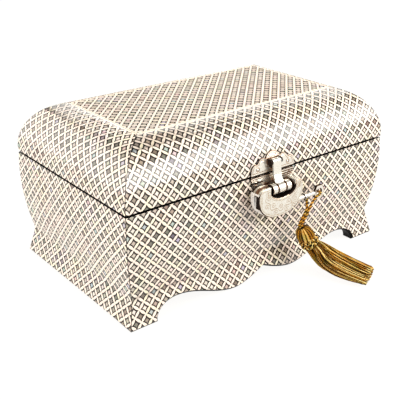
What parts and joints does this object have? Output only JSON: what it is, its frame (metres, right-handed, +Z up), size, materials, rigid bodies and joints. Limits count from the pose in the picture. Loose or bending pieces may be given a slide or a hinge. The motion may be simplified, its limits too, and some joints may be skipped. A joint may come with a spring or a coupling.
{
  "type": "shell-inlaid jewellery box",
  "caption": "Footed wooden box with a curved lid, shell inlay in interlocking circles, a hasp with half-moon padlock, key and silk tassel.",
  "frame": {"origin": "on the floor, under the middle of the box and its lock taken together", "axes": "+X to the box's right seen from the front, along its length; -Y is the front with the lock; +Z up"},
  "size_m": [0.261, 0.225, 0.1343],
  "materials": {
    "shell_inlay": "cream and iridescent shell in interlocking circles on dark brown, under clear gloss lacquer",
    "dark_wood": "black-stained wood",
    "nickel_silver": "pale polished nickel silver, engraved with scrolls",
    "gold_silk": "gold twisted silk thread"
  },
  "bodies": {
    "root": {"body_front": "shell_inlay", "body_back": "shell_inlay", "body_left": "shell_inlay", "body_right": "shell_inlay", "bottom_board": "dark_wood", "lid_front": "shell_inlay", "lid_back": "shell_inlay", "lid_left": "shell_inlay", "lid_right": "shell_inlay", "lid_top": "shell_inlay", "lid_plate": "nickel_silver", "hasp_pin": "nickel_silver", "hasp": "nickel_silver", "body_plate": "nickel_silver", "staple_left": "nickel_silver", "staple_right": "nickel_silver", "padlock": "nickel_silver", "padlock_bar": "nickel_silver", "key": "nickel_silver", "cord": "gold_silk", "tassel_head": "gold_silk", "tassel_skirt": "gold_silk"}
  },
  "joints": []
}
